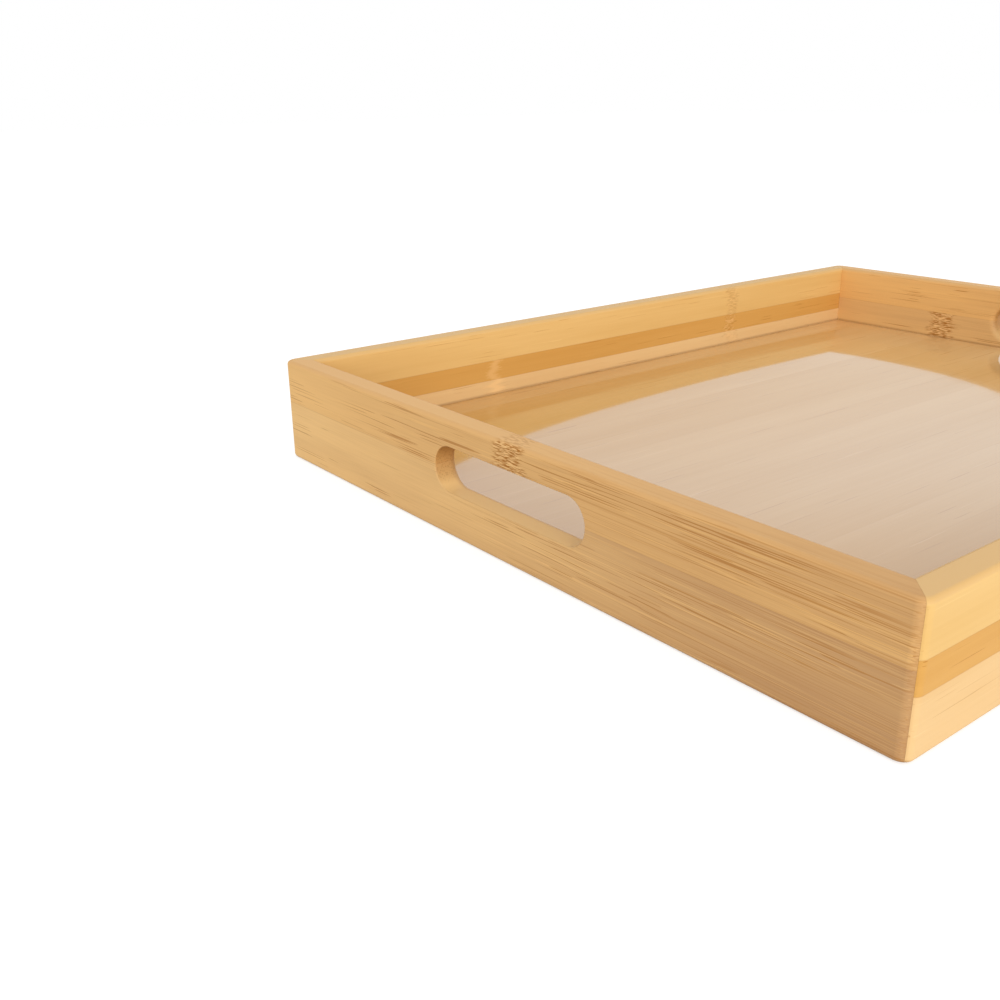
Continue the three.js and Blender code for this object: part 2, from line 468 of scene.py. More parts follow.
class SharedEffects:
    """Shader node groups that several finishes share, each built once."""

    def __init__(self) -> None:
        """Build every effect."""
        self.grain = self._grain()
        self.knuckle = self._knuckle()
        self.end_grain_and_underside_shade = self._end_grain_and_underside_shade()
        self.painted_edge_shade = self._painted_edge_shade()
        self.glue_line = self._glue_line()
        self.slats = self._slats()

    @staticmethod
    def _group(name: str, given: Labels, made: Labels) -> tuple[NodeNet, Sockets, Sockets]:
        """Start a node group with named sockets.

        Args:
            name: Name of the group.
            given: Names of its inputs by kind, with commas between them.
            made: Names of its outputs likewise.

        Returns:
            The group's net, and its inner sockets for inputs and outputs.
        """
        tree = bpy.data.node_groups.new(name, "ShaderNodeTree")
        for way, labels in (("INPUT", given), ("OUTPUT", made)):
            for kind, names in labels.items():
                for label in names.split(", "):
                    tree.interface.new_socket(name=label, in_out=way, socket_type=kind.value)
        net = NodeNet(tree)
        inner = tree.nodes.new("NodeGroupInput").outputs, tree.nodes.new("NodeGroupOutput").inputs
        source, target = ({socket.name: socket for socket in sockets if socket.name} for sockets in inner)
        return net, source, target

    def _grain(self) -> NodeGroup:
        """Bamboo fibres: soft clouds, long streaks, dark bundles with a pale edge, and painted shade that
        darkens the tone steadily along the fibres.

        Returns:
            The node group.
        """
        net, given, made = self._group(
            "bamboo_grain",
            {VECTOR: "Position", COLOUR: "Light, Deep, Fibre", VALUE:
             "Seed, Show, Tone Drift, Fibre Amount, Fibre Drift, Fibre Length, Fibre Width, Long Fibres"},
            {COLOUR: "Color", VALUE: "Relief, Cloud"},
        )
        shift = net.add("VectorMath", {0: SEED_STEP, "Scale": given["Seed"]}, operation="SCALE")
        place = net.vector("ADD", given["Position"], shift.outputs["Vector"])
        along = net.split(given["Position"])[0]
        cloud = net.noise(place, CLOUD)
        streak = net.noise(place, STREAK)
        tone = net.math("MULTIPLY_ADD", net.math("SUBTRACT", streak, HALF), STREAK_SHARE, cloud)
        # Painted shade: the tone changes steadily along the fibres
        tone = net.math("ADD", tone, net.product(along, given["Tone Drift"]), clamp=True)
        base = net.mix(tone, given["Light"], given["Deep"])

        more = net.product(along, given["Fibre Drift"])
        amount = net.math("ADD", given["Fibre Amount"], more, clamp=True)
        limit = net.ramp(amount, 0.0, 1.0, *BUNDLE_LIMITS)
        cluster = net.ramp(net.noise(place, CLUSTER), *CLUSTER_EDGE)
        thickness = given["Fibre Width"]
        cell = net.add("CombineXYZ", {"X": given["Fibre Length"], "Y": thickness, "Z": thickness})
        short_cell = cell.outputs[0]
        long_cell = net.vector("MULTIPLY", short_cell, LONG_BUNDLE)
        long_limit = net.math("ADD", limit, LONG_RISE)
        long_share = net.product(net.ramp(amount, *LONG_ONSET), given["Long Fibres"])
        layers = []
        for offset in (0.0, PALE_EDGE):
            moved = net.vector("ADD", place, (0.0, offset, offset))
            short = net.product(self._bundles(net, moved, short_cell, limit), cluster)
            lengthy = net.product(self._bundles(net, moved, long_cell, long_limit), long_share)
            layers.append(net.math("MAXIMUM", short, lengthy))
        dark = net.product(layers[0], DARK_SHARE, given["Show"])
        pale = net.product(layers[1], PALE_SHARE, given["Show"])
        hair = net.ramp(net.noise(place, HAIR), *HAIR_EDGE)
        hair = net.product(hair, amount, HAIR_SHARE)
        lit = net.mix(pale, base, given["Light"])
        lined = net.mix(hair, lit, given["Fibre"])
        net.feed(made["Color"], net.mix(dark, lined, given["Fibre"]))
        relief = net.math("SUBTRACT", net.product(streak, STREAK_RELIEF), dark)
        net.feed(made["Relief"], relief)
        net.feed(made["Cloud"], cloud)
        return net.tree

    @staticmethod
    def _bundles(net: NodeNet, place: Socket, cell: Socket, limit: Socket) -> Socket:
        """Mask of the fibre bundles that are as large as a cell, where the noise is above a limit."""
        level = net.noise(net.vector("DIVIDE", place, cell), BUNDLE)
        return net.ramp(level, limit, net.math("ADD", limit, BUNDLE_EDGE))

    def _knuckle(self) -> NodeGroup:
        """A culm node: a band across the grain with short wavy dark and pale strokes, and a painted
        highlight across its middle where it catches the light.

        Returns:
            The node group.
        """
        net, given, made = self._group(
            "bamboo_knuckle",
            {VECTOR: "Position", COLOUR: "Color, Dark, Pale", VALUE:
             "Place, Half Width, Dark Amount, Pale Amount, Ring Amount, Show, Relief"},
            {COLOUR: "Color", VALUE: "Relief"},
        )
        position = given["Position"]
        ragged = net.math("SUBTRACT", net.noise(position, RAGGED), HALF)
        place = net.math("MULTIPLY_ADD", ragged, RAGGED_REACH, net.split(position)[0])
        away = net.math("DIVIDE", net.gap(place, given["Place"]), given["Half Width"])
        band = net.product(net.ramp(away, *BAND_EDGE), given["Show"])
        swirl = net.math("SUBTRACT", net.noise(position, SWIRL), HALF)
        swirl = net.product(swirl, SWIRL_REACH)
        shift = net.add("CombineXYZ", {"Y": swirl, "Z": swirl})
        ripple = net.noise(net.vector("ADD", position, shift.outputs[0]), RIPPLE)
        dark = net.ramp(ripple, *DARK_STROKE, DARK_LEAST)
        dark = net.product(dark, band, given["Dark Amount"])
        pale = net.product(net.ramp(ripple, *PALE_STROKE), band, given["Pale Amount"])
        # Painted highlight across the node's middle, joined to the pale strokes
        ring = net.product(net.ramp(away, *HIGHLIGHT_EDGE), given["Ring Amount"])
        pale = net.math("MAXIMUM", pale, ring)
        shaded = net.mix(dark, given["Color"], given["Dark"])
        net.feed(made["Color"], net.mix(pale, shaded, given["Pale"]))
        ridge = net.product(net.math("SUBTRACT", pale, dark), RIDGE_HEIGHT)
        net.feed(made["Relief"], net.math("ADD", given["Relief"], ridge))
        return net.tree

    def _end_grain_and_underside_shade(self) -> NodeGroup:
        """Cut fibre ends: a deeper colour with dark dots where a face crosses the grain, deeper still as
        painted shade on faces that look down.

        Returns:
            The node group.
        """
        net, given, made = self._group(
            "bamboo_end_grain_and_underside_shade",
            {VECTOR: "Position", COLOUR: "Color, Deep, Dot", VALUE: "Facing, Down"},
            {COLOUR: "Color"},
        )
        across = net.vector("MULTIPLY", given["Position"], BUNDLES_ACROSS)
        cells = net.add("TexVoronoi", {"Vector": across, "Scale": 1.0}, feature="F1")
        dot = net.ramp(cells.outputs["Distance"], *DOT_EDGE, 0.0, DOT_SHARE)
        # Painted shade: cut ends that look down take more of the deep colour
        turned = net.math("MULTIPLY_ADD", given["Down"], UNDERSIDE_SHADE_SHARE, given["Facing"])
        cut = net.ramp(turned, *CUT_EDGE)
        share = net.math("MULTIPLY_ADD", given["Down"], UNDERSIDE_SHADE_SHARE, CUT_SHARE)
        deepened = net.mix(net.product(cut, share), given["Color"], given["Deep"])
        net.feed(made["Color"], net.mix(net.product(cut, dot), deepened, given["Dot"]))
        return net.tree

    def _painted_edge_shade(self) -> NodeGroup:
        """Painted shade on edges: upper faces take an even, set tone and roundings a deeper one, for how
        light falls on them.

        Returns:
            The node group.
        """
        net, given, made = self._group(
            "painted_edge_shade",
            {COLOUR: "Color, Worn, Sanded", VALUE: "Broad, Up, Worn Amount, Sanded Amount"},
            {COLOUR: "Color"},
        )
        # Painted shade: upper faces take a set tone
        upper = net.product(net.ramp(given["Up"], *UPPER_EDGE), given["Sanded Amount"])
        top_shaded = net.mix(upper, given["Color"], given["Sanded"])
        # Painted shade: roundings take the deep colour, most halfway round
        narrow = net.math("SUBTRACT", 1.0, given["Broad"])
        rounding_shade = net.product(given["Broad"], narrow, ROUNDING_PEAK, given["Worn Amount"])
        net.feed(made["Color"], net.mix(rounding_shade, top_shaded, given["Worn"]))
        return net.tree

    def _glue_line(self) -> NodeGroup:
        """Thin dark lines where two strips are glued edge to edge; the same mask also places the painted
        shadow along the floor line.

        Returns:
            The node group.
        """
        net, given, made = self._group(
            "glue_line",
            {VALUE: "Height, Lower Joint, Upper Joint, Half Width"},
            {VALUE: "Mask"},
        )
        gaps = [net.gap(given["Height"], given[joint]) for joint in ("Lower Joint", "Upper Joint")]
        near = net.math("DIVIDE", net.math("MINIMUM", *gaps), given["Half Width"])
        net.feed(made["Mask"], net.ramp(near, *LINE_EDGE))
        return net.tree

    def _slats(self) -> NodeGroup:
        """Side-by-side slats of a veneer: a tone of its own for each, and the seams between them.

        Returns:
            The node group.
        """
        net, given, made = self._group(
            "veneer_slats",
            {VECTOR: "Position", VALUE: "Slat Width, Seam Width"},
            {VALUE: "Tone, Seam"},
        )
        row = net.math("DIVIDE", net.split(given["Position"])[1], given["Slat Width"])
        number = net.math("FLOOR", row)
        chance = net.add("TexWhiteNoise", {"W": number}, noise_dimensions="1D")
        net.feed(made["Tone"], chance.outputs["Value"])
        off_middle = net.gap(net.math("SUBTRACT", row, number), HALF)
        edge = net.product(net.math("SUBTRACT", HALF, off_middle), given["Slat Width"])
        near = net.math("DIVIDE", edge, given["Seam Width"])
        net.feed(made["Seam"], net.ramp(near, *LINE_EDGE))
        return net.tree


@dataclass(frozen=True)
class Knuckle:
    """One culm node that crosses a strip, placed by its distance from the wall's middle."""

    place: float
    half_width: float = 9.0 * MM
    dark_amount: float = 0.5
    pale_amount: float = 0.4
    # Painted highlight across the node's middle
    highlight_amount: float = 0.0


@dataclass(frozen=True)
class BambooFinish:
    """Satin-lacquered bamboo of one tone. A drift is a change per metre along the fibres."""

    slot: str
    light: Colour
    deep: Colour
    fibre: Colour
    fibre_amount: float
    fibre_drift: float = 0.0
    fibre_length: float = 34.0 * MM
    fibre_width: float = 0.48 * MM
    long_fibres: float = 0.7
    # Painted shade that changes the tone along the fibres
    painted_shade_drift: float = 0.0
    depth_share: float = 0.35
    broad_edge: Point2 = (0.3, 0.9)
    edge_share: float = 0.35
    # Painted shade on roundings and on upper faces, for how light falls on them
    rounding_shade_amount: float = 0.4
    sanded: Colour = paint(225, 177, 114)
    top_shade_share: float = 0.85
    top_shade_drift: float = 0.0
    roughness: float = 0.52
    roughness_spread: Point2 = (-0.05, 0.07)
    specular: float = 0.2
    coat: float = 0.02
    coat_roughness: float = 0.3
    relief_depth: float = 0.025 * MM
    relief_strength: float = 0.6
    knuckle_dark: Colour = paint(160, 97, 18)
    # Pale of the node's strokes, also its painted highlight
    knuckle_pale_and_highlight: Colour = paint(250, 206, 142)
    # Deep colour of cut ends, also painted shade on cut ends that look down
    end_deep_and_underside_shade: Colour = paint(168, 118, 58)
    end_dot: Colour = paint(128, 84, 40)
    glue_shade: Colour = paint(150, 100, 52)
    glue_half_width: float = 0.35 * MM
    glue_strength: float = 0.15
    # Painted shadow on the inner face where the floor meets the wall
    floor_shadow_colour: Colour = paint(140, 98, 54)
    floor_shadow_half_width: float = 1.6 * MM
    floor_shadow_edge: float = 1.0 * MM
    floor_shadow_strength: float = 0.4

    def material(self, name: str, effects: SharedEffects, axis: GrainAxis, seed: float,
                 knuckles: Sequence[Knuckle] = (), joints: Point2 = (FAR_AWAY, FAR_AWAY),
                 floor_line: float = FAR_AWAY, inner_reach: float = 0.0) -> Material:
        """Make the material of one piece.

        Args:
            name: Name of the material.
            effects: The shared effects.
            axis: Direction of the fibres.
            seed: Moves the pattern, so that no two pieces are alike.
            knuckles: Culm nodes that cross the piece.
            joints: Heights of the glued edges below and above.
            floor_line: Height at which the floor meets the piece, along which a painted shadow runs on the
                inner face.
            inner_reach: Distance from the tray's middle within which that painted shadow shows.

        Returns:
            The material.
        """
        material, net = new_material(name)
        position = net.add("TexCoord").outputs["Object"]
        turned = net.add("Mapping", {"Vector": position, "Rotation": (0.0, 0.0, axis.turn)}).outputs[0]
        along, across, height = net.split(turned)
        place = net.vector("MULTIPLY", turned, (1.0, self.depth_share, 1.0))
        normal = net.add("NewGeometry").outputs["Normal"]
        facing, broad = (
            net.math("ABSOLUTE", net.dot(normal, direction)) for direction in (axis.value, axis.across)
        )
        rise = net.dot(normal, UPWARDS)
        up = net.math("MAXIMUM", rise, 0.0)
        down = net.math("MAXIMUM", net.product(rise, -1.0), 0.0)
        show = net.ramp(broad, *self.broad_edge, self.edge_share)
        grain = net.place_group(
            effects.grain, Position=place, Seed=seed, Light=self.light, Deep=self.deep, Fibre=self.fibre,
            Tone_Drift=self.painted_shade_drift, Fibre_Amount=self.fibre_amount, Fibre_Drift=self.fibre_drift,
            Fibre_Length=self.fibre_length, Fibre_Width=self.fibre_width, Long_Fibres=self.long_fibres,
            Show=show,
        )
        # Painted shade on upper faces and roundings, changing along the wall where a drift is set
        sanded = net.math("MULTIPLY_ADD", along, self.top_shade_drift, self.top_shade_share, clamp=True)
        edge = net.place_group(
            effects.painted_edge_shade, Broad=broad, Up=up, Color=grain["Color"], Worn=self.deep,
            Worn_Amount=self.rounding_shade_amount, Sanded=self.sanded, Sanded_Amount=sanded,
        )
        colour, relief = edge["Color"], grain["Relief"]
        for knuckle in knuckles:
            mark = net.place_group(
                effects.knuckle, Position=place, Place=knuckle.place, Half_Width=knuckle.half_width,
                Color=colour, Dark=self.knuckle_dark, Pale=self.knuckle_pale_and_highlight, Relief=relief, Show=show,
                Dark_Amount=knuckle.dark_amount, Pale_Amount=knuckle.pale_amount,
                Ring_Amount=knuckle.highlight_amount,
            )
            colour, relief = mark["Color"], mark["Relief"]
        ends = net.place_group(
            effects.end_grain_and_underside_shade, Position=turned, Facing=facing, Down=down, Color=colour, Deep=self.end_deep_and_underside_shade,
            Dot=self.end_dot,
        )
        # Dark glue lines between strips, and a painted shadow along the floor line on the inner face
        glue, floor_shadow = (
            net.place_group(
                effects.glue_line, Height=height, Lower_Joint=low, Upper_Joint=high, Half_Width=half_width)
            for low, high, half_width in (
                (*joints, self.glue_half_width), (floor_line, floor_line, self.floor_shadow_half_width))
        )
        inside = net.ramp(net.math("ABSOLUTE", across), inner_reach, inner_reach - self.floor_shadow_edge)
        glue_share = net.product(glue["Mask"], self.glue_strength)
        floor_shadow_share = net.product(floor_shadow["Mask"], inside, self.floor_shadow_strength)
        shaded = net.mix(glue_share, ends["Color"], self.glue_shade)
        fibres = {"Height": relief, "Strength": self.relief_strength, "Distance": self.relief_depth}
        bump = net.add("Bump", fibres)
        least, most = (self.roughness + spread for spread in self.roughness_spread)
        shader = net.add("BsdfPrincipled", {
            "Base Color": net.mix(floor_shadow_share, shaded, self.floor_shadow_colour),
            "Roughness": net.ramp(grain["Cloud"], 0.0, 1.0, least, most),
            "Normal": bump.outputs["Normal"],
            "Specular IOR Level": self.specular,
            "Coat Weight": self.coat,
            "Coat Roughness": self.coat_roughness,
        })
        net.add("OutputMaterial", {"Surface": shader.outputs["BSDF"]})
        return material


@dataclass(frozen=True)
class LacquerFinish:
    """High-gloss clear lacquer over golden veneer, with a slow hollow that shows in its gloss alone, and a
    painted shadow that deepens the tone towards the left wall.
    """

    slot: str
    light: Colour
    deep: Colour
    fibre: Colour
    fibre_amount: float = 0.07
    fibre_length: float = 40.0 * MM
    fibre_width: float = 1.2 * MM
    slat_width: float = 21.0 * MM
    slat_seed: float = 3.0
    slat_tone: float = 0.2
    seam_width: float = 0.5 * MM
    seam_tone: float = 0.1
    # Painted shadow of the left wall: the tone deepens towards it
    painted_shade_drift: float = -2.0
    roughness: float = 0.05
    roughness_most: float = 0.1
    coat: float = 0.6
    coat_roughness: float = 0.03
    sag: float = 10.0 * MM
    sag_reach: float = 1.08
    sag_powers: Point2 = (1.0, 2.0)

    def material(self, name: str, effects: SharedEffects, half_length: float,
                 half_width: float) -> Material:
        """Make the floor's material.

        Args:
            name: Name of the material.
            effects: The shared effects.
            half_length: Half the clear length between the walls.
            half_width: Half the clear width between the walls.

        Returns:
            The material.
        """
        material, net = new_material(name)
        position = net.add("TexCoord").outputs["Object"]
        slats = net.place_group(
            effects.slats, Position=position, Slat_Width=self.slat_width, Seam_Width=self.seam_width)
        grain = net.place_group(
            effects.grain, Position=position, Seed=net.product(slats["Tone"], self.slat_seed),
            Light=self.light, Deep=self.deep, Fibre=self.fibre, Tone_Drift=self.painted_shade_drift,
            Fibre_Amount=self.fibre_amount, Fibre_Drift=0.0, Fibre_Length=self.fibre_length,
            Fibre_Width=self.fibre_width, Long_Fibres=0.0, Show=1.0,
        )
        toned = net.mix(net.product(slats["Tone"], self.slat_tone), grain["Color"], self.deep)
        bowls = []
        spans = (half_length * self.sag_reach, half_width)
        for place, span, power in zip(net.split(position), spans, self.sag_powers):
            share = net.math("DIVIDE", place, span)
            bowl = net.math("SUBTRACT", 1.0, net.product(share, share))
            bowls.append(net.math("POWER", bowl, power))
        hollow = {"Height": net.product(*bowls), "Strength": 1.0, "Distance": self.sag}
        normal = net.add("Bump", hollow, invert=True).outputs["Normal"]
        shader = net.add("BsdfPrincipled", {
            "Base Color": net.mix(net.product(slats["Seam"], self.seam_tone), toned, self.fibre),
            "Roughness": net.ramp(grain["Cloud"], 0.0, 1.0, self.roughness, self.roughness_most),
            "Normal": normal,
            "Coat Normal": normal,
            "Coat Weight": self.coat,
            "Coat Roughness": self.coat_roughness,
        })
        net.add("OutputMaterial", {"Surface": shader.outputs["BSDF"]})
        return material


# The top strip's upper faces take their own painted shade
STRAW = BambooFinish(
    "bamboo_straw", paint(240, 202, 135), paint(217, 171, 98), paint(190, 130, 52),
    0.05, sanded=paint(219, 179, 122))
AMBER = BambooFinish("bamboo_amber", paint(226, 175, 98), paint(203, 146, 67), paint(168, 102, 28), 0.1)
PALE = BambooFinish("bamboo_pale", paint(239, 204, 149), paint(223, 179, 119), paint(186, 132, 70), 0.1)
# End walls: painted shade changes the tone along each wall; upper faces and roundings carry painted shade
HONEY_UPPER = BambooFinish(
    "bamboo_honey", paint(238, 189, 118), paint(203, 157, 103), paint(166, 106, 36),
    0.4, fibre_drift=-1.3, long_fibres=0.5, painted_shade_drift=-2.0, top_shade_share=0.7, top_shade_drift=4.0)
HONEY_LOWER = BambooFinish(
    "bamboo_honey", paint(239, 194, 127), paint(188, 144, 98), paint(166, 108, 40),
    0.38, fibre_drift=-1.0, long_fibres=0.55, painted_shade_drift=-2.2, sanded=paint(225, 185, 122))
FLOOR_GLOSS = LacquerFinish(
    "floor_lacquer", paint(219, 179, 124), paint(201, 153, 85), paint(184, 136, 80))
FLOOR_PLY = BambooFinish(
    "floor_ply", paint(198, 156, 104), paint(170, 128, 78), paint(132, 92, 50),
    0.5, roughness=0.62, coat=0.0, depth_share=1.0, edge_share=1.0, rounding_shade_amount=0.0, top_shade_share=0.0)
TONGUE = replace(
    FLOOR_PLY, slot="tongue_bamboo", light=paint(210, 166, 104), deep=paint(186, 140, 78),
    fibre=paint(150, 104, 54), fibre_amount=0.4, roughness=0.6)

# Finish of each strip from the table up, seed of each wall's pattern, and the culm nodes of its strips
LONG_WALL_LEVELS = {"bottom": PALE, "middle": AMBER, "top": STRAW}
END_WALL_LEVELS = {"lower": HONEY_LOWER, "upper": HONEY_UPPER}
WALL_SEEDS = {WallSide.BACK: 1.0, WallSide.FRONT: 11.0, WallSide.LEFT: 26.0, WallSide.RIGHT: 31.0}
KNUCKLES: dict[WallSide, dict[str, tuple[Knuckle, ...]]] = {
    # The back wall's nodes carry a painted highlight where they catch the light, strongest near -100 mm
    WallSide.BACK: {
        "top": (Knuckle(95.0 * MM, 7.0 * MM, 0.3, 0.3),),
        "middle": (
            Knuckle(-103.0 * MM, 6.0 * MM, 0.0, 0.3, 0.35),
            Knuckle(94.0 * MM, 6.0 * MM, 0.3, 0.4),
        ),
        "bottom": (
            Knuckle(-101.0 * MM, 9.0 * MM, 0.0, 0.3, 0.6),
            Knuckle(96.0 * MM, 8.0 * MM, 0.2, 0.3, 0.3),
        ),
    },
    WallSide.FRONT: {
        "top": (Knuckle(62.0 * MM),),
        "middle": (Knuckle(-50.0 * MM), Knuckle(150.0 * MM)),
    },
    WallSide.LEFT: {"upper": (Knuckle(-2.5 * MM, 10.0 * MM, 0.9, 0.5),)},
    WallSide.RIGHT: {"lower": (Knuckle(83.0 * MM, 10.0 * MM, 0.8, 0.6),)},
}


@dataclass
class WallStrip:
    """One edge-glued strip of a wall, mitred at both ends."""

    side: WallSide
    level: str
    sizes: TraySizes
    finish: BambooFinish
    seed: float
    knuckles: tuple[Knuckle, ...] = ()
    arris_steps: int = 6
    corner_steps: int = 6
    slot_steps: int = 28
    easing_steps: int = 8
    sharp_angle: float = math.radians(35)
    piece: bpy.types.Object | None = None

    @property
    def node(self) -> str:
        """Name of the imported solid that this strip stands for."""
        return f"{self.side.value}_wall_{self.level}_strip"

    @property
    def heights(self) -> Point2:
        """Lowest and highest point of the strip, out to the middle of its glue lines.

        Returns:
            The two heights above the table.
        """
        low, high = (corner.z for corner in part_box(self.node))
        half_line = self.sizes.glue_line / 2
        return (
            low if self.is_foot(low) else low - half_line,
            high if self.is_rim(high) else high + half_line,
        )

    @property
    def half_length(self) -> float:
        """Half the wall's outside length."""
        return (self.sizes.length if self.side.is_long else self.sizes.width) / 2

    def is_rim(self, height: float) -> bool:
        """True at the top of the wall."""
        return abs(height - self.sizes.height) < MM

    def is_foot(self, height: float) -> bool:
        """True at the underside of the wall."""
        return abs(height) < MM

    def _edge(self, outer: bool, upper: bool) -> list[Point2]:
        """Points round one long edge: a round arris on the wall's own edges, a tiny flat on a glued one.

        Args:
            outer: True for an edge on the outer face.
            upper: True for an edge at the top of the strip.

        Returns:
            Points as depth and height, in the sense of the profile.
        """
        height = self.heights[1 if upper else 0]
        rounded = self.is_rim(height) or self.is_foot(height)
        radius = self.sizes.arris if rounded else self.sizes.glue_edge
        steps = self.arris_steps if rounded else 1
        inward = 1 if outer else -1
        upward = 1 if upper else -1
        centre_depth = radius if outer else self.sizes.wall - radius
        centre_height = height - upward * radius
        points = []
        for step in range(steps + 1):
            angle = math.pi / 2 * step / steps
            depth = centre_depth - inward * radius * math.cos(angle)
            points.append((depth, centre_height + upward * radius * math.sin(angle)))
        return points if outer == upper else points[::-1]

    def profile(self) -> list[Point2]:
        """Cross-section of the strip once round, with the floor's groove if it lies in this strip.

        Returns:
            Points as depth and height.
        """
        sizes = self.sizes
        low, high = self.heights
        outline = self._edge(outer=True, upper=True)
        outline += self._edge(outer=False, upper=True)
        groove_low = sizes.floor_bottom - sizes.glue_line
        groove_high = sizes.floor_top + sizes.groove_room
        if low < groove_low and groove_high < high:
            back = sizes.wall - sizes.groove_depth
            outline += [(sizes.wall, groove_high), (back, groove_high)]
            outline += [(back, groove_low), (sizes.wall, groove_low)]
        outline += self._edge(outer=False, upper=False)
        outline += self._edge(outer=True, upper=False)
        return outline

    def rings(self) -> list[list[Vector]]:
        """Cross-sections from end to end: straight between the corners, then round a corner to the mitre.

        Returns:
            Rings of points in the tray's frame.
        """
        sizes = self.sizes
        straight_end = self.half_length - sizes.wall - sizes.corner
        stops = [(straight_end, 0.0)]
        for step in range(self.corner_steps + 1):
            angle = math.pi / 4 * step / self.corner_steps
            inset = sizes.corner * (1 - math.cos(angle))
            stops.append((self.half_length - sizes.corner * (1 - math.sin(angle)), inset))
        last_along, last_inset = stops[-1]
        outline = self.profile()
        stations = [(-1, *stop) for stop in reversed(stops)] + [(1, *stop) for stop in stops]
        rings = []
        for end, along, inset in stations:
            share = (along - straight_end) / (last_along - straight_end)
            ring = []
            for depth, height in outline:
                fade = 1 - depth / sizes.wall
                mitre = self.half_length - depth - last_inset * fade - sizes.mitre_setback
                reach = straight_end + (mitre - straight_end) * share
                ring.append(sizes.place(self.side, end * reach, depth + inset * fade, height))
            rings.append(ring)
        return rings

    def _flare(self, radius: float) -> list[Point2]:
        """How the slot opens out over one rounded edge.

        Args:
            radius: Radius of the edge.

        Returns:
            Depths below the face with the growth of the slot's outline there, going inwards.
        """
        stops = [(-MM, radius)]
        for step in range(self.easing_steps + 1):
            angle = math.pi / 2 * step / self.easing_steps
            stops.append((radius * (1 - math.cos(angle)), radius * (1 - math.sin(angle))))
        return stops

    def slot_cutter(self) -> Mesh:
        """Finger slot, eased at the outer face and rounded at the inner one.

        Returns:
            The shape that is cut away.
        """
        sizes = self.sizes
        stops = self._flare(sizes.slot_easing)
        stops += [(sizes.wall - depth, grow) for depth, grow in reversed(self._flare(sizes.slot_rounding))]
        rings = []
        for depth, grow in stops:
            length, height = sizes.slot_length + 2 * grow, sizes.slot_height + 2 * grow
            outline = round_ended(length, height, self.slot_steps)
            rings.append([
                sizes.place(self.side, along, depth, sizes.slot_centre + up) for along, up in outline
            ])
        return loft(self.node + "_slot", rings)

    def mortise_cutter(self, end: int) -> Mesh:
        """Pocket for the corner's loose tongue.

        Args:
            end: 1 for the end of the wall with the higher coordinate, -1 for the other.

        Returns:
            The shape that is cut away.
        """
        sizes = self.sizes
        room = sizes.tongue_room
        middle = sizes.place(self.side, end * (self.half_length - sizes.wall / 2), sizes.wall / 2, 0.0)
        across = Vector((math.copysign(1, middle.x), -math.copysign(1, middle.y), 0.0)).normalized()
        through = Vector((-across.y, across.x, 0.0))
        outline = round_ended(
            sizes.tongue_width + 2 * room, sizes.tongue_thickness + 2 * room, self.arris_steps)
        rings = []
        for height in (sizes.tongue_bottom - room, sizes.tongue_top + room):
            level = Vector((middle.x, middle.y, height))
            rings.append([level + across * run + through * rise for run, rise in outline])
        return loft(f"{self.node}_mortise_{end}", rings)

    def build(self) -> None:
        """Build the strip, hang it on the tray's body and hide the plain solid."""
        blank = loft(self.node + "_blank", self.rings())
        cutters = [self.mortise_cutter(-1), self.mortise_cutter(1)]
        if not self.side.is_long:
            cutters.append(self.slot_cutter())
        mesh = carve(f"{self.side.value}_{self.level}_strip", blank, cutters)
        mesh.polygons.foreach_set("use_smooth", [True] * len(mesh.polygons))
        mesh.set_sharp_from_angle(angle=self.sharp_angle)
        self.piece = bpy.data.objects.new(mesh.name, mesh)
        bpy.context.scene.collection.objects.link(self.piece)
        evened = self.piece.modifiers.new("flat_faces_stay_flat", "WEIGHTED_NORMAL")
        evened.keep_sharp = True
        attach(self.piece, "root")
        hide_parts(self.node)
        LOG.info("built %s for %s", self.piece.name, self.node)

    def dress(self, effects: SharedEffects) -> None:
        """Give the strip its bamboo.

        Args:
            effects: The shared effects.
        """
        low, high = self.heights
        joints = (FAR_AWAY if self.is_foot(low) else low, FAR_AWAY if self.is_rim(high) else high)
        across = self.sizes.width if self.side.is_long else self.sizes.length
        inner_reach = (across - self.sizes.wall) / 2
        material = self.finish.material(
            f"{self.finish.slot}_{self.side.value}_{self.level}", effects, self.side.grain, self.seed,
            self.knuckles, joints, self.sizes.floor_top, inner_reach,
        )
        finish_piece(self.piece, material)


@dataclass
class Wall:
    """A wall of the tray, glued up from strips."""

    side: WallSide
    sizes: TraySizes
    strips: list[WallStrip] = field(default_factory=list)

    def build(self) -> None:
        """Build the strips."""
        levels = LONG_WALL_LEVELS if self.side.is_long else END_WALL_LEVELS
        for number, (level, finish) in enumerate(levels.items()):
            seed = WALL_SEEDS[self.side] + number
            knuckles = KNUCKLES[self.side].get(level, ())
            strip = WallStrip(self.side, level, self.sizes, finish, seed, knuckles)
            strip.build()
            self.strips.append(strip)

    def dress(self, effects: SharedEffects) -> None:
        """Finish every strip."""
        for strip in self.strips:
            strip.dress(effects)


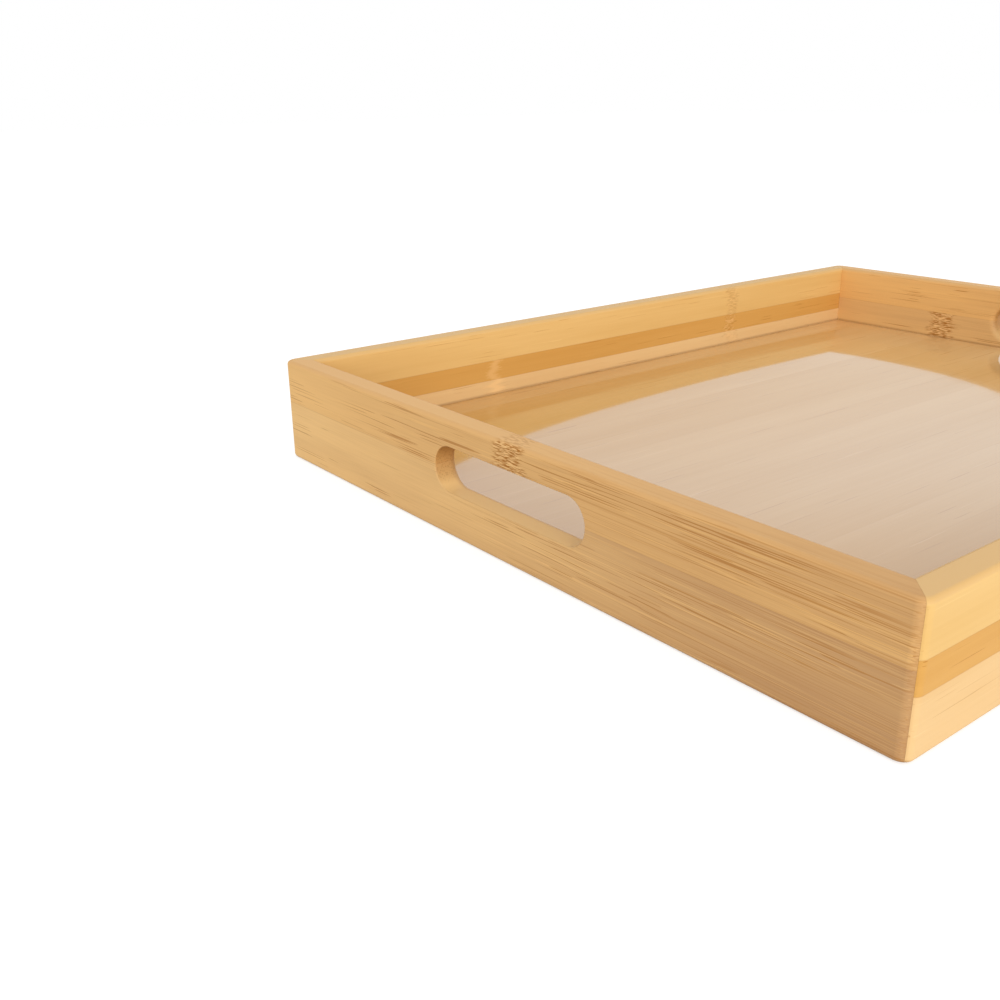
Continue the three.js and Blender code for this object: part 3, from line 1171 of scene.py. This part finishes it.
@dataclass
class FloorPanel:
    """The three plies of the floor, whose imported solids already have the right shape."""

    sizes: TraySizes
    top: str = "floor_top_veneer"
    core: str = "floor_core"
    bottom: str = "floor_bottom_veneer"
    first_seed: float = 40.0

    def dress(self, effects: SharedEffects) -> None:
        """Lacquer the top, and leave the other plies bare.

        Args:
            effects: The shared effects.
        """
        half_length = self.sizes.length / 2 - self.sizes.wall
        half_width = self.sizes.width / 2 - self.sizes.wall
        gloss = FLOOR_GLOSS.material(FLOOR_GLOSS.slot, effects, half_length, half_width)
        finish_piece(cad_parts[self.top], gloss)
        plies = {self.core: GrainAxis.ALONG_Y, self.bottom: GrainAxis.ALONG_X}
        for number, (node, axis) in enumerate(plies.items()):
            bare = FLOOR_PLY.material(f"{FLOOR_PLY.slot}_{node}", effects, axis, self.first_seed + number)
            finish_piece(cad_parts[node], bare)


@dataclass
class CornerTongues:
    """Loose tongues hidden in the mitres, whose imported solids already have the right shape."""

    prefix: str = "corner_tongue_"
    first_seed: float = 60.0

    def dress(self, effects: SharedEffects) -> None:
        """Give each tongue bare bamboo.

        Args:
            effects: The shared effects.
        """
        nodes = sorted(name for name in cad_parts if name.startswith(self.prefix))
        for number, node in enumerate(nodes):
            name = f"{TONGUE.slot}_{number}"
            bare = TONGUE.material(name, effects, GrainAxis.ALONG_X, self.first_seed + number)
            finish_piece(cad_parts[node], bare)


@dataclass
class Studio:
    """Plain white room, soft light and the photograph's camera."""

    camera_place: Point3 = (-0.460517, -0.302716, 0.172874)
    camera_azimuth: float = math.radians(37.6779)
    camera_pitch: float = math.radians(20.8523)
    camera_roll: float = math.radians(0.8208)
    camera_lens: float = 38.733
    camera_nearest: float = 10.0 * MM
    ambient: float = 0.8
    table_size: float = 12.0
    table_drop: float = 0.1 * MM
    table_colour: Colour = (0.6, 0.6, 0.6, 1.0)
    seen_colour: Colour = (0.55, 0.55, 0.55, 1.0)
    seen_glow: float = 0.62
    key_place: Point3 = (-1.25, -2.05, 0.8)
    key_power: float = 36.0
    key_size: float = 1.6

    def build_camera(self) -> None:
        """Stand the camera where the photograph was taken."""
        sin_azimuth, cos_azimuth = math.sin(self.camera_azimuth), math.cos(self.camera_azimuth)
        sin_pitch, cos_pitch = math.sin(self.camera_pitch), math.cos(self.camera_pitch)
        level_right = Vector((cos_azimuth, -sin_azimuth, 0.0))
        forward = Vector((cos_pitch * sin_azimuth, cos_pitch * cos_azimuth, -sin_pitch))
        level_down = forward.cross(level_right)
        right = level_right * math.cos(self.camera_roll) + level_down * math.sin(self.camera_roll)
        up = right.cross(forward)
        camera = bpy.data.objects.new("camera", bpy.data.cameras.new("camera"))
        camera.data.lens = self.camera_lens
        camera.data.clip_start = self.camera_nearest
        axes = Matrix((right, up, -forward)).transposed()
        camera.matrix_world = Matrix.Translation(self.camera_place) @ axes.to_4x4()
        bpy.context.scene.collection.objects.link(camera)
        bpy.context.scene.camera = camera

    @staticmethod
    def seen(net: NodeNet) -> Socket:
        """Mask that is 1 for rays from the camera, also by way of gloss or glass.

        Args:
            net: Net of the material or the world.

        Returns:
            The mask's socket.
        """
        path = net.add("LightPath").outputs
        seen = net.math("MAXIMUM", path["Is Camera Ray"], path["Is Glossy Ray"])
        return net.math("MAXIMUM", seen, path["Is Transmission Ray"])

    def build_world(self) -> None:
        """White surroundings that light the tray evenly."""
        world = bpy.data.worlds.new("white_room")
        world.use_nodes = True
        net = NodeNet(world.node_tree)
        strength = net.ramp(self.seen(net), 0.0, 1.0, self.ambient, 1.0)
        white = net.add("Background", {"Color": (1.0, 1.0, 1.0, 1.0), "Strength": strength})
        net.add("OutputWorld", {"Surface": white.outputs[0]})
        bpy.context.scene.world = world

    def build_floor(self) -> None:
        """White table top that keeps the tray's shadow."""
        half = self.table_size / 2
        mesh = bpy.data.meshes.new("table_top")
        corners = [(-half, -half, 0.0), (half, -half, 0.0), (half, half, 0.0), (-half, half, 0.0)]
        mesh.from_pydata(corners, [], [(0, 1, 2, 3)])
        floor = bpy.data.objects.new("table_top", mesh)
        floor.location.z = -self.table_drop
        bpy.context.scene.collection.objects.link(floor)
        material, net = new_material("white_table")
        matt = net.add("BsdfDiffuse", {"Color": self.table_colour})
        soft = net.add("BsdfDiffuse", {"Color": self.seen_colour})
        glow = net.add("Emission", {"Strength": self.seen_glow})
        shown = net.add("AddShader", {0: soft.outputs[0], 1: glow.outputs[0]})
        above = net.add("MixShader", {0: self.seen(net), 1: matt.outputs[0], 2: shown.outputs[0]})
        below = net.add("NewGeometry").outputs["Backfacing"]
        clear = net.add("BsdfTransparent")
        whole = net.add("MixShader", {0: below, 1: above.outputs[0], 2: clear.outputs[0]})
        net.add("OutputMaterial", {"Surface": whole.outputs[0]})
        finish_piece(floor, material)

    def build_lamp(self) -> None:
        """One large soft lamp above and in front of the tray."""
        lamp = bpy.data.lights.new("soft_key", "AREA")
        lamp.shape = "SQUARE"
        lamp.size = self.key_size
        lamp.energy = self.key_power
        key = bpy.data.objects.new("soft_key", lamp)
        key.location = self.key_place
        key.rotation_mode = "QUATERNION"
        key.rotation_quaternion = (-Vector(self.key_place)).to_track_quat("-Z", "Y")
        bpy.context.scene.collection.objects.link(key)

    def build(self) -> None:
        """Set up the whole room."""
        bpy.context.scene.view_settings.view_transform = "Standard"
        self.build_camera()
        self.build_world()
        self.build_floor()
        self.build_lamp()
        LOG.info("built the studio")


def main() -> None:
    """Build and finish the tray."""
    logging.basicConfig(level=logging.INFO, format="%(name)s: %(message)s")
    Studio().build()
    sizes = TraySizes.from_frame()
    effects = SharedEffects()
    for side in WALL_SEEDS:
        wall = Wall(side, sizes)
        wall.build()
        wall.dress(effects)
    FloorPanel(sizes).dress(effects)
    CornerTongues().dress(effects)


if __name__ == "__main__":
    main()
